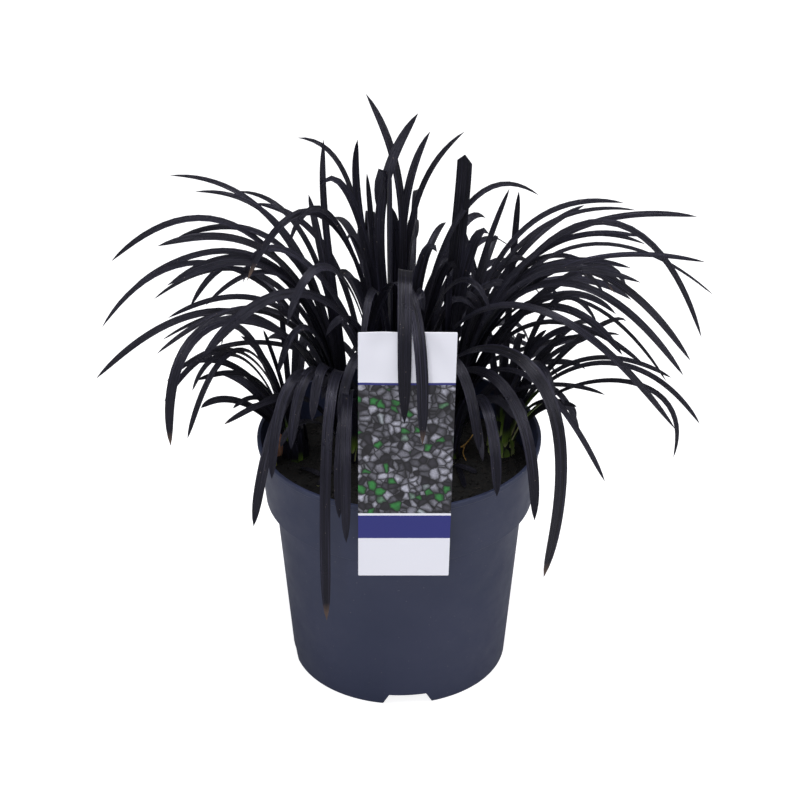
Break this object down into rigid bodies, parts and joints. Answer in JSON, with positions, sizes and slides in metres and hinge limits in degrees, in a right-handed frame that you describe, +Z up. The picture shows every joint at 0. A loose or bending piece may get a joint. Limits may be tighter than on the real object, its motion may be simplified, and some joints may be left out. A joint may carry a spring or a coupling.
{
  "type": "potted black mondo grass",
  "caption": "Clump of arching near-black strap leaves growing from soil in a round plastic nursery pot, with a plant label hooked over the rim.",
  "frame": {"origin": "middle of the pot's underside, on the surface that the pot stands on", "axes": "+Z up, +X to the right and +Y to the back when the label faces the viewer"},
  "size_m": [0.358, 0.2743, 0.359],
  "materials": {
    "pot_plastic": "satin",
    "soil": "matte",
    "label_card": "satin",
    "leaf": "satin"
  },
  "bodies": {
    "root": {"pot": "pot_plastic", "soil": "soil", "label": "label_card", "tuft_main": "leaf", "tuft_back": "leaf", "tuft_left": "leaf", "tuft_right": "leaf"}
  },
  "joints": []
}
